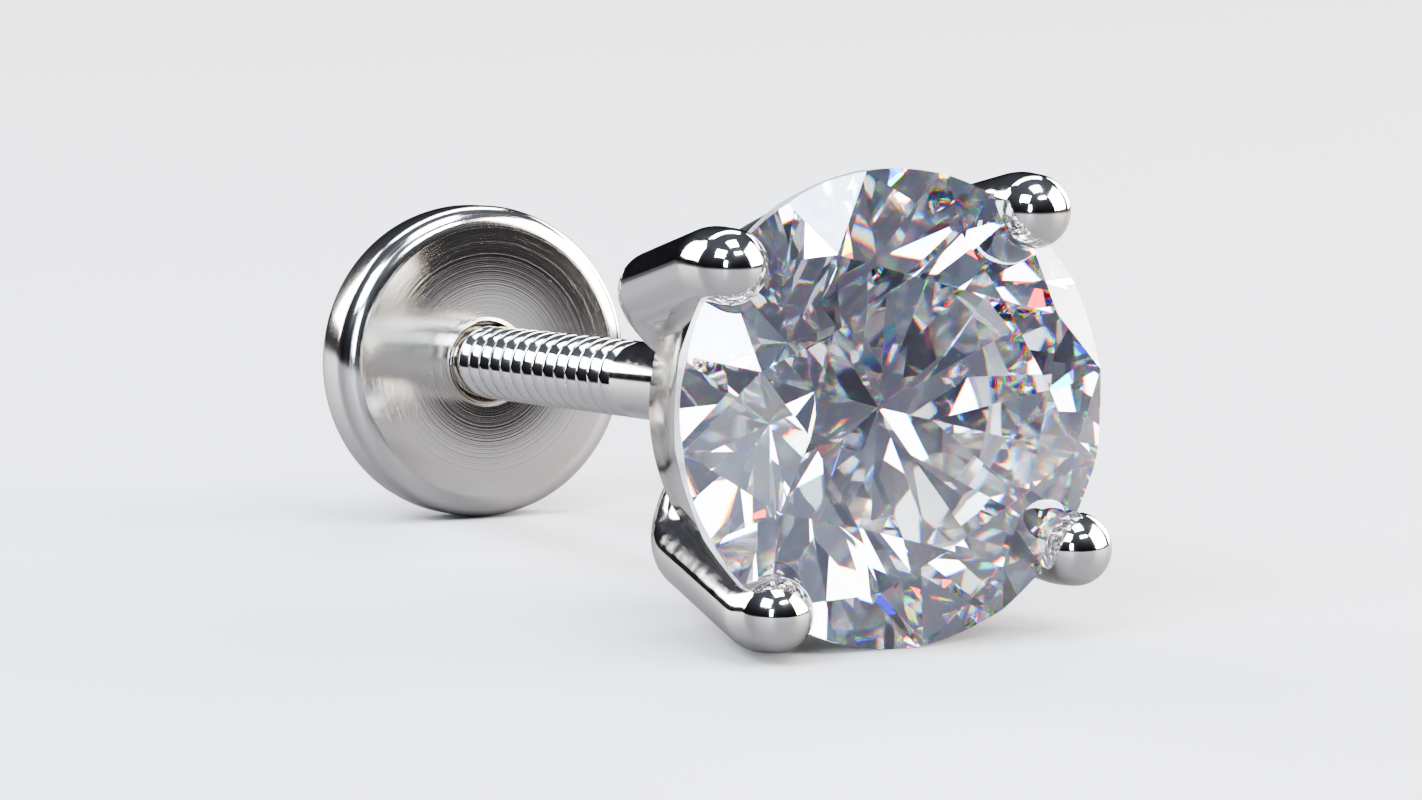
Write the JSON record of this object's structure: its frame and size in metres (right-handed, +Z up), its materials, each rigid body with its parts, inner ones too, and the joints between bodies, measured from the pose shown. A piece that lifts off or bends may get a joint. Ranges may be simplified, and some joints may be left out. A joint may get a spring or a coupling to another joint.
{
  "type": "stud earring",
  "caption": "Round brilliant stud earring in a four-prong white gold basket, with a threaded post and a plain round screw back, lying at rest.",
  "frame": {"origin": "on the surface the stud lies on, below the middle of its bounding box", "axes": "+Y from the stone back along the post, +X to the right when the stone is looked at, +Z up"},
  "size_m": [0.0052, 0.0138, 0.0052],
  "materials": {
    "diamond": "cut and polished",
    "white_gold": "high polish",
    "white_gold_back": "polished, finely brushed"
  },
  "bodies": {
    "root": {"stone": "diamond", "setting": "white_gold", "screw_back": "white_gold_back"}
  },
  "joints": []
}
